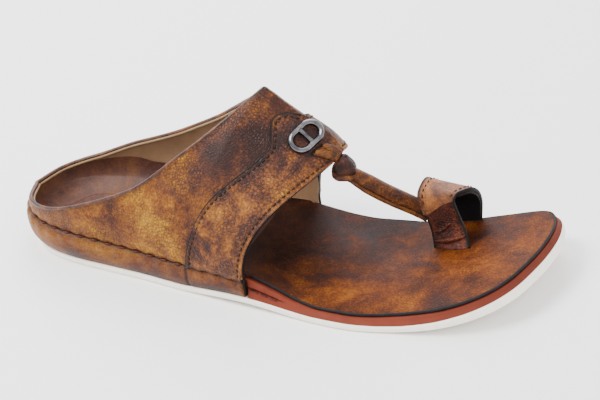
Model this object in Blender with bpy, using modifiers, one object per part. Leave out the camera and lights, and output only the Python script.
# Toe ring sandal, right shoe: heel cup and instep strap in one leather wall, with a narrow
# knotted strap that runs forward to a leather ring for the big toe.
# Frame: +X to the toe, +Y to the inner (big toe) side, +Z up, the floor at zero.
# The origin is the middle of the flat spot under the heel. Every length is in metres.
import math
from collections import namedtuple

import bmesh
import bpy
import numpy as np
from mathutils import Vector

# Driving sizes
SOLE_LENGTH = 0.277
BALL_WIDTH = 0.090
INSTEP_HEIGHT = 0.0905     # the collar's peak above the floor
ARCH_RISE = 0.0021         # gap under the arch
TOE_SPRING = 0.0113        # how high the sole's tip stands
HEEL_BEVEL = 0.0010        # rise of the very back of the sole
CLEARANCE = 0.0003         # gap between two pieces that touch

# Layers of the sole
OUTSOLE_THICK = 0.0037
OUTSOLE_TOE = 0.0056       # the outsole's thickness at the tip
BED_THICK = 0.0015
BED_HEIGHT = 0.0082        # top of the footbed over the outsole, under the arch
CUP_DEPTH = 0.0085         # how far the footbed's edge rises around the heel
BED_INSET = 0.0048         # the footbed's edge inside the sole's outline
TOE_EASE = 0.45            # share by which the layers' insets shrink at the tip
EDGE_ROUND = 0.0016        # rounding of the outsole's lower edge
MIDSOLE_INSET = 0.0004     # the midsole's lower edge inside the sole's outline
MIDSOLE_SLOPE = 0.0026     # how far the midsole's side leans in to its top

# Upper
WALL = 0.0020
RAND_WALL = 0.0024
SEAM_HEIGHT = 0.0205       # the seam over the sole's underside, at the back of the heel
RAND_TUCK = 0.0006         # the rand's foot lies this far inside the outline
SEAM_REACH = 0.0016        # the seam at the heel stands this far outside the rand's foot
RAND_BULGE = 0.0034        # how far the rand swells between them at the heel
OVERLAY_THICK = 0.0010
STRAP_FRONT = 0.1410       # where the instep strap's front edge leaves the sole, outer side
STRAP_SKEW = 0.0035        # how much further forward it does so on the inner side

# Toe strap, knot, loop, ring and ornament
LACE_WIDTH = 0.0092
LACE_THICK = 0.0042
LACE_GROOVE = 0.0006       # depth of the line between its two layers
LACE_SAG = 0.0008
LACE_DROP = 0.0018         # the strap leaves the knot this far under its middle
LACE_END = (-0.68, -0.53, 0.77)    # its end by the ring: shares of RING_WIDTH, _SPAN and _HEIGHT
KNOT_SIZE = 0.0112
KNOT_WAIST = 0.10          # how far the knot narrows between its two turns
KNOT_PLACE = 0.93          # the place up the strap's front edge that the knot sits on
KNOT_SINK = 0.18           # how far it hangs under the leather, as a share of its size
LOOP_WIDTH = 0.0080
LOOP_THICK = 0.0015
LOOP_RUN = ((0.92, 0.865), (0.62, 0.885), (0.35, 0.91), (0.04, 0.93))    # rib and place up it
RING_HEIGHT = 0.0290       # the ring's crown over the footbed
RING_SPAN = 0.0245         # from the near leg's outside to the far leg's
RING_WIDTH = 0.0225        # along the toe
RING_WALL = 0.0022
ORNAMENT_LENGTH = 0.0190
ORNAMENT_WIDTH = 0.0125
ORNAMENT_THICK = 0.0022
ORNAMENT_BAR = 0.0026      # width of the frame and of the bar across it
ORNAMENT_PLACE = (1.5, 0.875)      # rib, and place up it

HEEL_SPOT = 0.18 * SOLE_LENGTH     # the origin's place, ahead of the sole's back

# Outline of the sole: share of the length, then shares of the ball width
Outline = namedtuple("Outline", "along middle half")
OUTLINE = [
    Outline(0.000, 0.000, 0.000),
    Outline(0.021, 0.000, 0.169),
    Outline(0.048, 0.003, 0.256),
    Outline(0.100, 0.004, 0.326),
    Outline(0.169, 0.002, 0.365),
    Outline(0.279, -0.017, 0.389),
    Outline(0.397, -0.044, 0.422),
    Outline(0.502, -0.051, 0.464),
    Outline(0.596, -0.066, 0.486),
    Outline(0.653, -0.075, 0.500),
    Outline(0.708, -0.073, 0.511),
    Outline(0.780, -0.046, 0.511),
    Outline(0.845, -0.018, 0.505),
    Outline(0.892, 0.013, 0.482),
    Outline(0.935, 0.059, 0.436),
    Outline(0.968, 0.113, 0.355),
    Outline(0.989, 0.166, 0.222),
    Outline(1.000, 0.198, 0.000),
]

# Height of the footbed's middle, of its cupped outer and inner edge, height and reach of the
# seam, and the rand's swell: shares of BED_HEIGHT, CUP_DEPTH, SEAM_HEIGHT, SEAM_REACH, RAND_BULGE
Stack = namedtuple("Stack", "along bed cup_outer cup_inner seam reach bulge")
STACK = [
    Stack(0.00, 0.93, 1.00, 1.00, 1.00, 1.00, 1.00),
    Stack(0.10, 0.88, 0.95, 0.95, 0.94, 0.75, 0.85),
    Stack(0.20, 0.88, 0.80, 0.80, 0.86, 0.30, 0.60),
    Stack(0.33, 0.90, 0.62, 0.55, 0.77, 0.00, 0.50),
    Stack(0.42, 0.85, 0.58, 0.30, 0.73, 0.00, 0.50),
    Stack(0.51, 0.71, 0.60, 0.12, 0.60, 0.00, 0.45),
    Stack(0.56, 0.50, 0.46, 0.10, 0.50, 0.00, 0.40),
    Stack(0.60, 0.42, 0.20, 0.06, 0.50, 0.00, 0.40),
    Stack(0.65, 0.41, 0.00, 0.00, 0.50, 0.00, 0.40),
    Stack(0.70, 0.41, 0.00, 0.00, 0.50, 0.00, 0.40),
    Stack(0.80, 0.54, 0.00, 0.00, 0.50, 0.00, 0.40),
    Stack(0.90, 0.56, 0.00, 0.00, 0.50, 0.00, 0.40),
    Stack(1.00, 0.58, 0.00, 0.00, 0.50, 0.00, 0.40),
]

# Ribs of the upper's wall, from the strap's front edge back to the heel. foot: where the rib
# leaves the seam, share of the length. top: its upper end, along as a share of the length,
# middle and half as shares of the ball width, height as a share of the instep height, with
# tilt added on the inner side and taken off on the outer one.
# up, back, out, drop: the rib's two handles as shares of the instep height.
Rib = namedtuple("Rib", "foot along middle half height tilt up back out drop")
RIBS = [
    Rib(0.510, 0.635, 0.053, 0.000, 0.676, 0.000, 0.400, -0.040, 0.170, 0.050),
    Rib(0.492, 0.617, 0.059, 0.000, 0.750, 0.000, 0.370, 0.010, 0.200, 0.045),
    Rib(0.468, 0.581, 0.065, 0.000, 0.832, 0.000, 0.340, 0.050, 0.210, 0.040),
    Rib(0.440, 0.544, 0.070, 0.000, 0.912, 0.000, 0.320, 0.060, 0.200, 0.040),
    Rib(0.414, 0.515, 0.072, 0.000, 0.980, 0.000, 0.310, 0.060, 0.190, 0.045),
    Rib(0.395, 0.502, 0.072, 0.008, 1.000, 0.000, 0.310, 0.060, 0.180, 0.060),
    Rib(0.367, 0.451, 0.053, 0.139, 0.879, -0.010, 0.290, 0.050, 0.140, 0.130),
    Rib(0.327, 0.377, 0.034, 0.263, 0.716, -0.010, 0.250, 0.040, 0.080, 0.150),
    Rib(0.264, 0.278, 0.015, 0.338, 0.531, 0.012, 0.170, 0.020, 0.030, 0.120),
    Rib(0.168, 0.168, 0.004, 0.350, 0.407, 0.014, 0.090, 0.000, 0.012, 0.070),
    Rib(0.080, 0.080, 0.000, 0.300, 0.325, 0.008, 0.040, 0.000, 0.008, 0.035),
    Rib(0.021, 0.020, 0.000, 0.176, 0.294, 0.003, 0.025, 0.000, 0.006, 0.025),
    Rib(0.000, -0.002, 0.000, 0.000, 0.287, 0.000, 0.020, 0.000, 0.006, 0.020),
]

# The overlay's rear edge: height along the rib, 0 at the seam to 1 at the top, against the rib
# that the edge crosses there, counted from the strap's front
OverlayEdge = namedtuple("OverlayEdge", "up rib")
OVERLAY_EDGE = [
    OverlayEdge(0.00, 5.05),
    OverlayEdge(0.12, 4.80),
    OverlayEdge(0.20, 4.50),
    OverlayEdge(0.30, 4.05),
    OverlayEdge(0.40, 3.45),
    OverlayEdge(0.48, 2.95),
    OverlayEdge(0.60, 2.45),
    OverlayEdge(0.70, 2.30),
    OverlayEdge(0.77, 2.60),
    OverlayEdge(0.86, 3.00),
    OverlayEdge(0.93, 2.80),
    OverlayEdge(1.00, 2.20),
]

# Toe ring, from its near foot over the crown to its far foot: along and across from the ring's
# middle as shares of RING_WIDTH and RING_SPAN, height over the footbed as a share of RING_HEIGHT
RingRow = namedtuple("RingRow", "rear_along rear_across rear_up front_along front_across front_up")
RING_PLACE = (0.799, 0.294)        # the ring's middle: shares of the length and the ball width
RING_ROWS = [
    RingRow(-0.24, -0.52, 0.00, 0.56, -0.51, 0.00),
    RingRow(-0.36, -0.51, 0.42, 0.31, -0.41, 0.42),
    RingRow(-0.52, -0.49, 0.72, 0.17, -0.37, 0.77),
    RingRow(-0.60, -0.38, 0.93, 0.24, -0.26, 0.86),
    RingRow(-0.58, -0.06, 1.02, 0.41, 0.02, 0.80),
    RingRow(-0.50, 0.26, 0.84, 0.47, 0.31, 0.59),
    RingRow(-0.38, 0.44, 0.42, 0.45, 0.47, 0.32),
    RingRow(-0.30, 0.48, 0.00, 0.40, 0.50, 0.00),
]

STATIONS = 31          # sections along the sole
ACROSS = 9             # points across the sole
RIB_STEPS = 41         # ribs of the wall on one side
RIB_POINTS = 11        # points up each rib


def start_clean():
    """Empty scene with one collection for the sandal's pieces."""
    for old in list(bpy.data.objects):
        bpy.data.objects.remove(old, do_unlink=True)
    pieces = bpy.data.collections.new("toe_ring_sandal")
    bpy.context.scene.collection.children.link(pieces)
    return pieces


def column(table, name):
    return np.array([getattr(row, name) for row in table], dtype=float)


def smooth(knots, values, at):
    """Cubic through the knots whose slopes never overshoot them."""
    knots = np.asarray(knots, dtype=float)
    values = np.asarray(values, dtype=float)
    at = np.clip(np.asarray(at, dtype=float), knots[0], knots[-1])
    gap = np.diff(knots)
    slope = np.diff(values) / gap
    tangent = np.zeros(len(knots))
    same = slope[:-1] * slope[1:] > 0
    before = 2 * gap[1:] + gap[:-1]
    after = gap[1:] + 2 * gap[:-1]
    safe_first = np.where(same, slope[:-1], 1.0)
    safe_next = np.where(same, slope[1:], 1.0)
    mean = (before + after) / (before / safe_first + after / safe_next)
    tangent[1:-1] = np.where(same, mean, 0.0)
    tangent[0] = slope[0]
    tangent[-1] = slope[-1]
    cell = np.clip(np.searchsorted(knots, at, side="right") - 1, 0, len(gap) - 1)
    t = (at - knots[cell]) / gap[cell]
    width = gap[cell]
    start = values[cell] * (1 + 2 * t) * (1 - t) ** 2
    finish = values[cell + 1] * t * t * (3 - 2 * t)
    leave = tangent[cell] * width * t * (1 - t) ** 2
    arrive = tangent[cell + 1] * width * t * t * (t - 1)
    return start + finish + leave + arrive


def to_turn(along):
    """Share of the length as a share of a half turn, which keeps both ends round."""
    return np.arccos(1 - 2 * np.clip(along, 0, 1)) / math.pi


def outline_row(along):
    """Middle and half width of the sole's outline, in metres."""
    turns = to_turn(column(OUTLINE, "along"))
    middle = smooth(turns, column(OUTLINE, "middle"), to_turn(along))
    half = smooth(turns, column(OUTLINE, "half"), to_turn(along))
    return middle * BALL_WIDTH, half * BALL_WIDTH


def outline(turn, side, offset=0.0):
    """Points on the outline, side -1 outer and 1 inner, moved outward by the offset."""
    turn = np.asarray(turn, dtype=float)
    step = 1e-4

    def point(at):
        along = (1 - np.cos(math.pi * at)) / 2
        turns = to_turn(column(OUTLINE, "along"))
        middle = smooth(turns, column(OUTLINE, "middle"), at)
        half = smooth(turns, column(OUTLINE, "half"), at)
        return SOLE_LENGTH * along, (middle + side * half) * BALL_WIDTH

    x, y = point(turn)
    ahead = point(np.clip(turn + step, 0, 1))
    behind = point(np.clip(turn - step, 0, 1))
    run = ahead[0] - behind[0]
    rise = ahead[1] - behind[1]
    ends = (turn < step) | (turn > 1 - step)
    run = np.where(ends, 0.0, run)
    length = np.hypot(run, rise)
    out_x = -side * rise / length
    out_y = side * run / length
    return x + out_x * offset, y + out_y * offset


def sole_lift(x):
    """Height of the sole's underside: heel and ball flat, arch raised, toe swept up."""
    share = np.asarray(x, dtype=float) / SOLE_LENGTH
    arch = np.clip((share - 0.36) / (0.64 - 0.36), 0, 1)
    toe = np.clip((share - 0.755) / (1 - 0.755), 0, 1)
    heel = np.clip((0.05 - share) / 0.05, 0, 1)
    return ARCH_RISE * np.sin(math.pi * arch) ** 2 + TOE_SPRING * toe ** 1.5 + HEEL_BEVEL * heel ** 2


def on_sole(x, y, height):
    """Point at a height square to the sole's underside, over the place x, y."""
    step = 1e-4
    tilt = np.arctan((sole_lift(x + step) - sole_lift(x - step)) / (2 * step))
    return np.stack([x - height * np.sin(tilt), y + 0 * x, sole_lift(x) + height * np.cos(tilt)], axis=-1)


def stack_value(name, x):
    return smooth(column(STACK, "along"), column(STACK, name), np.asarray(x) / SOLE_LENGTH)


def outsole_thick(x):
    toe = np.clip((np.asarray(x) / SOLE_LENGTH - 0.80) / 0.20, 0, 1)
    return OUTSOLE_THICK + (OUTSOLE_TOE - OUTSOLE_THICK) * toe


def inset_share(x):
    """The layers' insets as shares, smaller toward the tip."""
    return 1 - TOE_EASE * np.clip((np.asarray(x) / SOLE_LENGTH - 0.82) / 0.18, 0, 1)


def bed_height(x, y):
    """Footbed's top over the sole's underside: its middle height plus the cup up to its edge."""
    middle, half = outline_row(np.asarray(x) / SOLE_LENGTH)
    reach = np.maximum(half - BED_INSET * inset_share(x), 0.002)
    across = np.clip(np.abs(y - middle) / reach, 0, 1)
    share = np.where(y < middle, stack_value("cup_outer", x), stack_value("cup_inner", x))
    cup = CUP_DEPTH * share * across ** 2.6
    return outsole_thick(x) + BED_HEIGHT * stack_value("bed", x) + cup


def bed_top(x, y):
    """Height of the footbed's top above the floor at a place seen from above."""
    base = np.asarray(x, dtype=float)
    for _ in range(3):
        base = base + (x - on_sole(base, y, bed_height(base, y))[..., 0])
    return on_sole(base, y, bed_height(base, y))[..., 2]


def seam_height(x):
    return sole_lift(x) + SEAM_HEIGHT * stack_value("seam", x)


def seam_offset(x):
    return SEAM_REACH * stack_value("reach", x) - RAND_TUCK


def add_mesh(name, verts, faces, weld=1e-6):
    """Mesh object from points and faces in the last's frame, doubles merged."""
    mesh = bpy.data.meshes.new(name)
    shifted = np.asarray(verts, dtype=float) - np.array([HEEL_SPOT, 0.0, 0.0])
    mesh.from_pydata([tuple(v) for v in shifted], [], faces)
    work = bmesh.new()
    work.from_mesh(mesh)
    bmesh.ops.remove_doubles(work, verts=work.verts, dist=weld)
    bmesh.ops.dissolve_degenerate(work, edges=work.edges, dist=weld)
    work.to_mesh(mesh)
    work.free()
    obj = bpy.data.objects.new(name, mesh)
    PIECES.objects.link(obj)
    return obj


def outward(obj):
    """Turn the faces of a closed mesh outward."""
    work = bmesh.new()
    work.from_mesh(obj.data)
    bmesh.ops.recalc_face_normals(work, faces=work.faces)
    if work.calc_volume(signed=True) < 0:
        bmesh.ops.reverse_faces(work, faces=work.faces)
    work.to_mesh(obj.data)
    work.free()


def finish(obj, material, angle=40):
    obj.data.materials.append(material)
    obj.data.shade_smooth()
    obj.data.set_sharp_from_angle(angle=math.radians(angle))
    return obj


def make_material(name, colour, roughness, metallic=0.0):
    material = bpy.data.materials.new(name)
    material.use_nodes = True
    shader = material.node_tree.nodes["Principled BSDF"]
    shader.inputs["Base Color"].default_value = (*colour, 1.0)
    shader.inputs["Roughness"].default_value = roughness
    shader.inputs["Metallic"].default_value = metallic
    material.diffuse_color = (*colour, 1.0)
    return material


def grid_faces(rows, columns, close_columns=False):
    """Quads of a grid whose points run column by column in each row."""
    faces = []
    last = columns if close_columns else columns - 1
    for r in range(rows - 1):
        for c in range(last):
            d = (c + 1) % columns
            faces.append((r * columns + c, r * columns + d, (r + 1) * columns + d, (r + 1) * columns + c))
    return faces


def stations():
    """Turns of the sections along the sole, with a close pair at the strap's front edge."""
    even = np.linspace(0, 1, STATIONS)
    front = to_turn(STRAP_FRONT / SOLE_LENGTH)
    step = to_turn((STRAP_FRONT + 0.0015) / SOLE_LENGTH)
    keep = even[np.abs(even - (front + step) / 2) > 0.008]
    return np.sort(np.concatenate([keep, [front, step]]))


def same_way(rows, columns, turned):
    """Triangles of a ring-shaped grid. The columns in turned are cut along the other diagonal,
    so that the top of one layer and the bottom of the next are cut alike."""
    faces = []
    for index, (a, b, c, d) in enumerate(grid_faces(rows, columns, close_columns=True)):
        if index % columns in turned:
            faces += [(a, b, d), (b, c, d)]
        else:
            faces += [(a, b, c), (a, c, d)]
    return faces


def plate(name, sides, bottom, top):
    """Closed layer of the sole. sides: pairs of offset and height from the lower edge to the
    upper one. bottom and top: heights of the two faces. All heights are square to the sole."""
    turns = stations()
    rough_x = SOLE_LENGTH * (1 - np.cos(math.pi * turns)) / 2
    flat = {}
    for side in (-1, 1):
        flat[side] = [np.stack(outline(turns, side, offset(rough_x)), axis=1) for offset, _ in sides]
    shares = np.linspace(0, 1, ACROSS)[1:-1]

    def face(row, height, order):
        points = []
        for share in order:
            between = flat[-1][row] * (1 - share) + flat[1][row] * share
            points.append(on_sole(between[:, 0], between[:, 1], height(between[:, 0], between[:, 1])))
        return points

    def edge(side):
        return [on_sole(p[:, 0], p[:, 1], height(p[:, 0], p[:, 1])) for p, (_, height) in zip(flat[side], sides)]

    loop = face(0, bottom, shares)
    loop += edge(1)
    loop += face(len(sides) - 1, top, shares[::-1])
    loop += edge(-1)[::-1]
    columns = len(loop)
    verts = np.stack(loop, axis=1).reshape(-1, 3)
    top_start = len(shares) + len(sides) - 1
    turned = range(top_start, top_start + len(shares) + 1)
    obj = add_mesh(name, verts, same_way(len(turns), columns, turned))
    outward(obj)
    return obj


def inside_wall(x):
    """Offset of what lies inside the rand, easing out to nothing ahead of the strap."""
    past = np.clip((x - STRAP_FRONT) / 0.0015, 0, 1)
    return -(RAND_TUCK + RAND_WALL + CLEARANCE) * (1 - past), past


def make_outsole():
    def raised(share, rest=0.0):
        return lambda x, y: share * outsole_thick(x) + rest

    sides = [
        (lambda x: -EDGE_ROUND + 0 * x, raised(0.0)),
        (lambda x: -0.3 * EDGE_ROUND + 0 * x, raised(0.0, 0.35 * EDGE_ROUND)),
        (lambda x: 0 * x, raised(0.0, EDGE_ROUND)),
        (lambda x: 0 * x, raised(0.85)),
        (lambda x: -0.0005 + 0 * x, raised(1.0)),
    ]
    return plate("outsole", sides, raised(0.0), raised(1.0))


def midsole_top(x, y):
    return bed_height(x, y) - BED_THICK - CLEARANCE


def make_midsole():
    def low(x, y):
        return outsole_thick(x) + CLEARANCE

    def lower_edge(x):
        wall, past = inside_wall(x)
        return wall - MIDSOLE_INSET * past

    def upper_edge(x):
        wall, past = inside_wall(x)
        return wall - (MIDSOLE_INSET + MIDSOLE_SLOPE * inset_share(x)) * past

    sides = [(lower_edge, low), (upper_edge, midsole_top), (bed_edge, midsole_top)]
    return plate("midsole", sides, low, midsole_top)


def bed_edge(x):
    wall, past = inside_wall(x)
    return wall - BED_INSET * inset_share(x) * past


def make_footbed():
    def low(x, y):
        return bed_height(x, y) - BED_THICK

    sides = [(bed_edge, low), (bed_edge, bed_height)]
    return plate("footbed", sides, low, bed_height)


def wall_path():
    """Turns and sides of the wall's stations, from the outer strap front round the heel."""
    back = np.linspace(to_turn(STRAP_FRONT / SOLE_LENGTH), 0, 23)
    turns = np.concatenate([back, back[-2::-1]])
    sides = np.concatenate([-np.ones(len(back)), np.ones(len(back) - 1)])
    return turns, sides


def make_rand():
    """Leather band round the rear of the sole, from the outsole up to the seam."""
    turns, sides = wall_path()
    shares = (0.0, 0.2, 0.5, 0.8, 1.0)
    swell = (0.0, 0.62, 1.0, 0.70, 0.0)
    outer = []
    inner = []
    for share, bulge in zip(shares, swell):
        rows = []
        for depth in (0.0, RAND_WALL):
            xy = []
            for side in (-1, 1):
                x0, _ = outline(turns, side)
                lean = (seam_offset(x0) + RAND_TUCK) * share - RAND_TUCK
                offset = lean + RAND_BULGE * stack_value("bulge", x0) * bulge * (depth == 0.0) - depth
                x, y = outline(turns, side, offset)
                low = sole_lift(x) + outsole_thick(x) + CLEARANCE
                high = seam_height(x) - CLEARANCE / 2
                xy.append(np.stack([x, y, low + (high - low) * share], axis=1))
            rows.append(np.where((sides < 0)[:, None], xy[0], xy[1]))
        outer.append(rows[0])
        inner.append(rows[1])
    loop = outer + inner[::-1]
    columns = len(loop)
    verts = np.stack(loop, axis=1).reshape(-1, 3)
    faces = grid_faces(len(turns), columns, close_columns=True)
    faces.append(tuple(range(columns)))
    faces.append(tuple(range(len(verts) - columns, len(verts)))[::-1])
    obj = add_mesh("rand", verts, faces)
    outward(obj)
    return obj


def rib_points(rib, up, side):
    """Points of the upper's outer surface. rib counts from the strap's front edge, 0, to the
    heel; up runs from the seam, 0, to the rim or ridge, 1; each rib is a cubic with handles."""
    order = np.arange(len(RIBS))
    get = {name: smooth(order, column(RIBS, name), rib) for name in Rib._fields}
    skew = max(side, 0) * STRAP_SKEW / SOLE_LENGTH * np.clip(1 - np.asarray(rib) / 8, 0, 1)
    turn = to_turn(get["foot"] + skew)
    reach = seam_offset(get["foot"] * SOLE_LENGTH)
    foot_x, foot_y = outline(turn, side, reach)
    out_x, out_y = outline(turn, side, reach + 1.0)
    normal = np.stack([out_x - foot_x, out_y - foot_y, 0 * foot_x], axis=-1)
    foot = np.stack([foot_x, foot_y, seam_height(foot_x) + CLEARANCE / 2], axis=-1)
    top = np.stack([
        get["along"] * SOLE_LENGTH,
        (get["middle"] + side * get["half"]) * BALL_WIDTH,
        (get["height"] + side * get["tilt"]) * INSTEP_HEIGHT,
    ], axis=-1)
    straight = np.stack([0 * foot_x, 0 * foot_x, get["up"] * INSTEP_HEIGHT], axis=-1)
    low_handle = foot + straight + normal * (0.10 * get["up"] * INSTEP_HEIGHT)[..., None]
    back = np.stack([-get["back"] * INSTEP_HEIGHT, 0 * foot_x, -get["drop"] * INSTEP_HEIGHT], axis=-1)
    high_handle = top + back + normal * (get["out"] * INSTEP_HEIGHT)[..., None]
    t = up[..., None]
    return ((1 - t) ** 3 * foot + 3 * t * (1 - t) ** 2 * low_handle
            + 3 * t * t * (1 - t) * high_handle + t ** 3 * top)


def skin(name, last_rib, rib_steps, up_steps):
    """Open sheet on the upper's outer surface, both sides in one mesh. last_rib: for each share
    up the rib, how far back from the strap's front edge the sheet reaches."""
    ups = np.linspace(0, 1, up_steps)
    across = np.linspace(0, 1, rib_steps)
    up_grid, across_grid = np.meshgrid(ups, across, indexing="ij")
    rib_grid = across_grid * last_rib(up_grid)
    verts = []
    faces = []
    for side in (-1, 1):
        points = rib_points(rib_grid, up_grid, side).reshape(-1, 3)
        start = len(verts)
        verts.extend(points)
        for quad in grid_faces(up_steps, rib_steps):
            ring = tuple(start + corner for corner in quad)
            faces.append(ring if side < 0 else ring[::-1])
    return add_mesh(name, verts, faces, weld=2e-5)


def face_out(obj):
    """Turn an open sheet so that its faces look away from the foot."""
    work = bmesh.new()
    work.from_mesh(obj.data)
    bmesh.ops.recalc_face_normals(work, faces=work.faces)
    centre = Vector((STRAP_FRONT * 0.7 - HEEL_SPOT, 0.0, 0.25 * INSTEP_HEIGHT))
    agree = sum(face.normal.dot(face.calc_center_median() - centre) * face.calc_area() for face in work.faces)
    if agree < 0:
        bmesh.ops.reverse_faces(work, faces=work.faces)
    work.to_mesh(obj.data)
    work.free()


def thicken(obj, thickness, offset):
    wall = obj.modifiers.new("wall", "SOLIDIFY")
    wall.thickness = thickness
    wall.offset = offset
    wall.use_even_offset = True
    wall.use_quality_normals = True


def make_upper():
    """Heel cup and instep strap: one leather wall, open at the collar and under the instep."""
    last = len(RIBS) - 1
    obj = skin("upper", lambda up: last + 0 * up, RIB_STEPS, RIB_POINTS)
    face_out(obj)
    thicken(obj, WALL, -1.0)
    return obj


def push_out(obj, distance):
    """Move every point of an open sheet along its normal."""
    work = bmesh.new()
    work.from_mesh(obj.data)
    work.normal_update()
    moves = [(vert, vert.normal.copy()) for vert in work.verts]
    for vert, normal in moves:
        vert.co += normal * distance
    work.to_mesh(obj.data)
    work.free()


def make_overlay():
    """Vamp overlay: a second leather over the strap's front half, on the upper's own surface."""
    ups = column(OVERLAY_EDGE, "up")
    ribs = column(OVERLAY_EDGE, "rib")
    obj = skin("vamp_overlay", lambda up: smooth(ups, ribs, up), 16, RIB_POINTS)
    face_out(obj)
    push_out(obj, 2 * CLEARANCE + OVERLAY_THICK)
    thicken(obj, OVERLAY_THICK, -1.0)
    return obj


def section_loft(name, sections):
    """Closed solid through equal closed sections, capped at both ends."""
    count, columns = sections.shape[:2]
    verts = sections.reshape(-1, 3)
    faces = grid_faces(count, columns, close_columns=True)
    faces.append(tuple(range(columns)))
    faces.append(tuple(range(len(verts) - columns, len(verts)))[::-1])
    obj = add_mesh(name, verts, faces)
    outward(obj)
    return obj


def ring_centre():
    x = RING_PLACE[0] * SOLE_LENGTH
    y = RING_PLACE[1] * BALL_WIDTH
    return x, y


def make_toe_ring():
    """Leather band over the big toe, both feet on the footbed."""
    x0, y0 = ring_centre()
    knots = np.linspace(0, 1, len(RING_ROWS))
    steps = np.linspace(0, 1, 25)
    edges = []
    for end in ("rear", "front"):
        x = x0 + RING_WIDTH * smooth(knots, column(RING_ROWS, end + "_along"), steps)
        y = y0 + RING_SPAN * smooth(knots, column(RING_ROWS, end + "_across"), steps)
        up = RING_HEIGHT * smooth(knots, column(RING_ROWS, end + "_up"), steps)
        edges.append(np.stack([x, y, bed_top(x, y) + CLEARANCE + up], axis=1))
    shares = np.linspace(0, 1, 5)
    verts = []
    for share in shares:
        line = edges[0] * (1 - share) + edges[1] * share
        foot = bed_top(line[:, 0], line[:, 1]) + 2 * CLEARANCE
        line[0, 2] = foot[0]
        line[-1, 2] = foot[-1]
        verts.append(line)
    verts = np.stack(verts, axis=0).reshape(-1, 3)
    obj = add_mesh("toe_ring", verts, grid_faces(len(shares), len(steps)))
    work = bmesh.new()
    work.from_mesh(obj.data)
    bmesh.ops.recalc_face_normals(work, faces=work.faces)
    middle = Vector((x0 - HEEL_SPOT, y0, 0.5 * RING_HEIGHT))
    agree = sum(face.normal.dot(face.calc_center_median() - middle) for face in work.faces)
    if agree < 0:
        bmesh.ops.reverse_faces(work, faces=work.faces)
    work.to_mesh(obj.data)
    work.free()
    thicken(obj, RING_WALL, -1.0)
    return obj


def surface_frame(rib, up):
    """Point of the upper's outer side, with directions forward along the strap, up the rib and
    out of the leather."""
    step = 0.02
    ribs = np.array([rib, max(rib - step, 0.0), max(rib - step, 0.0) + step, rib, rib])
    ups = np.array([up, up, up, max(up - step, 0.0), min(up + step, 1.0)])
    points = rib_points(ribs, ups, -1)
    forward = points[1] - points[2]
    climb = points[4] - points[3]
    out = np.cross(forward, climb)
    out *= np.sign(out[2])
    return points[0], unit(forward), unit(climb), unit(out)


def unit(vector):
    return vector / np.linalg.norm(vector)


def knot_centre():
    tip, forward, _, out = surface_frame(0.0, KNOT_PLACE)
    return tip + forward * (0.5 * KNOT_SIZE + 3 * CLEARANCE) - out * (KNOT_SINK * KNOT_SIZE)


def lace_route():
    """Ends of the toe strap's middle line, at the knot and at the ring's near leg, with the
    directions across it and up it."""
    x0, y0 = ring_centre()
    end = np.array([x0 + LACE_END[0] * RING_WIDTH, y0 + LACE_END[1] * RING_SPAN, 0.0])
    end[2] = bed_top(end[0], end[1]) + LACE_END[2] * RING_HEIGHT
    centre = knot_centre()
    start = centre
    for _ in range(3):
        direction = unit(end - start)
        side = unit(np.cross(np.array([0.0, 0.0, 1.0]), direction))
        up = np.cross(direction, side)
        start = centre + direction * (0.5 * KNOT_SIZE + CLEARANCE) - up * LACE_DROP
    return start, end, side, up


def make_toe_strap():
    """Doubled leather strip on edge, with a groove between its two layers."""
    start, end, side, up = lace_route()
    half = LACE_WIDTH / 2
    deep = LACE_THICK / 2
    heights = (-1.0, -0.85, -0.70, -0.62, -0.54, 0.80, 1.0)
    depths = (0.6 * deep, 0.9 * deep, 0.9 * deep, deep - LACE_GROOVE, deep, deep, 0.6 * deep)
    shape = list(zip(depths, heights))
    shape += [(-depth, height) for depth, height in shape[::-1]]
    sections = []
    for share in np.linspace(0, 1, 9):
        middle = start * (1 - share) + end * share - up * LACE_SAG * math.sin(math.pi * share)
        sections.append([middle + side * depth + up * half * height for depth, height in shape])
    return section_loft("toe_strap", np.array(sections))


def make_knot():
    """Squat wrapped knot at the strap's tip: a ball with a waist between its two turns."""
    start, end, _, _ = lace_route()
    bpy.ops.mesh.primitive_uv_sphere_add(segments=20, ring_count=12, radius=KNOT_SIZE / 2)
    obj = bpy.context.object
    obj.name = "knot"
    for old in list(obj.users_collection):
        old.objects.unlink(obj)
    PIECES.objects.link(obj)
    turn = Vector(end - start).to_track_quat("Z", "Y").to_matrix()
    centre = Vector(knot_centre()) - Vector((HEEL_SPOT, 0, 0))
    spread = 0.22 * KNOT_SIZE / 2
    for vert in obj.data.vertices:
        waist = 1 - KNOT_WAIST * math.exp(-(vert.co.z / spread) ** 2)
        vert.co = turn @ Vector((vert.co.x * waist, vert.co.y * waist, vert.co.z)) + centre
    return obj


def make_loop():
    """Tab that holds the knot: it lies on the overlay and runs forward to the strap's edge."""
    over = 3 * CLEARANCE + OVERLAY_THICK
    half = LOOP_WIDTH / 2
    sections = []
    for rib, up in LOOP_RUN:
        point, _, climb, out = surface_frame(rib, up)
        low = point + out * over
        high = low + out * LOOP_THICK
        sections.append([low - climb * half, low + climb * half, high + climb * half, high - climb * half])
    return section_loft("strap_loop", np.array(sections))


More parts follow.
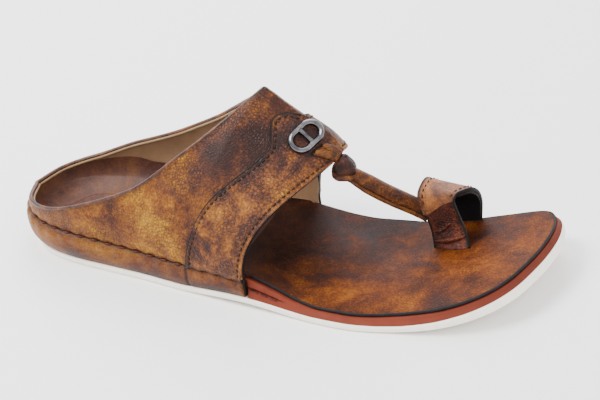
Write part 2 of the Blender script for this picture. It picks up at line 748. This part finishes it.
def make_ornament():
    """Plain oblong frame with a bar across its middle, on the overlay just off its ridge."""
    centre, _, climb, out = surface_frame(*ORNAMENT_PLACE)
    short_way = np.cross(out, climb)
    reach = (ORNAMENT_LENGTH - ORNAMENT_WIDTH) / 2
    base = centre + out * (OVERLAY_THICK + 4 * CLEARANCE)
    count = 24
    levels = ((0.0, 0.0), (0.0, 0.55), (0.35, 1.0), (0.75, 0.8), (1.0, 0.0))
    verts = []
    for inset, lift in levels:
        radius = ORNAMENT_WIDTH / 2 - inset * ORNAMENT_BAR
        for k in range(count):
            angle = 2 * math.pi * (k + 0.5) / count
            along = math.copysign(reach, math.cos(angle)) + radius * math.cos(angle)
            verts.append(base + climb * along + short_way * radius * math.sin(angle)
                         + out * lift * ORNAMENT_THICK)
    faces = grid_faces(len(levels) + 1, count, close_columns=True)
    total = len(levels) * count
    faces = [tuple(corner % total for corner in face) for face in faces]
    frame = add_mesh("ornament", verts, faces)
    outward(frame)
    arm = ORNAMENT_WIDTH / 2 - 0.6 * ORNAMENT_BAR
    half = ORNAMENT_BAR / 2
    section = [(-half, 0.15), (half, 0.15), (half, 0.5), (0.4 * half, 0.8), (-0.4 * half, 0.8), (-half, 0.5)]
    ends = []
    for end in (-arm, arm):
        ends.append([base + short_way * end + climb * across + out * lift * ORNAMENT_THICK
                     for across, lift in section])
    bar = section_loft("bar", np.array(ends))
    join = frame.modifiers.new("bar", "BOOLEAN")
    join.object = bar
    join.operation = "UNION"
    join.solver = "EXACT"
    applied = frame.evaluated_get(bpy.context.evaluated_depsgraph_get())
    frame.data = bpy.data.meshes.new_from_object(applied)
    frame.modifiers.clear()
    bpy.data.objects.remove(bar, do_unlink=True)
    return frame


PIECES = start_clean()

OUTSOLE_RUBBER = make_material("outsole_rubber", (0.80, 0.76, 0.68), 0.55)
MIDSOLE_FOAM = make_material("midsole_foam", (0.62, 0.24, 0.14), 0.6)
BED_LEATHER = make_material("footbed_leather", (0.16, 0.06, 0.03), 0.45)
UPPER_LEATHER = make_material("upper_leather", (0.26, 0.11, 0.035), 0.5)
RAND_LEATHER = make_material("rand_leather", (0.28, 0.12, 0.035), 0.5)
OVERLAY_LEATHER = make_material("overlay_leather", (0.24, 0.10, 0.035), 0.5)
STRAP_LEATHER = make_material("toe_strap_leather", (0.18, 0.07, 0.035), 0.5)
KNOT_LEATHER = make_material("knot_leather", (0.13, 0.05, 0.03), 0.5)
LOOP_LEATHER = make_material("loop_leather", (0.22, 0.09, 0.035), 0.5)
RING_LEATHER = make_material("toe_ring_leather", (0.24, 0.10, 0.04), 0.5)
GUNMETAL = make_material("ornament_gunmetal", (0.25, 0.25, 0.26), 0.3, metallic=1.0)

finish(make_outsole(), OUTSOLE_RUBBER)
finish(make_midsole(), MIDSOLE_FOAM)
finish(make_footbed(), BED_LEATHER)
finish(make_rand(), RAND_LEATHER)
finish(make_upper(), UPPER_LEATHER)
finish(make_overlay(), OVERLAY_LEATHER)
finish(make_toe_strap(), STRAP_LEATHER)
finish(make_knot(), KNOT_LEATHER)
finish(make_loop(), LOOP_LEATHER)
finish(make_toe_ring(), RING_LEATHER)
finish(make_ornament(), GUNMETAL)
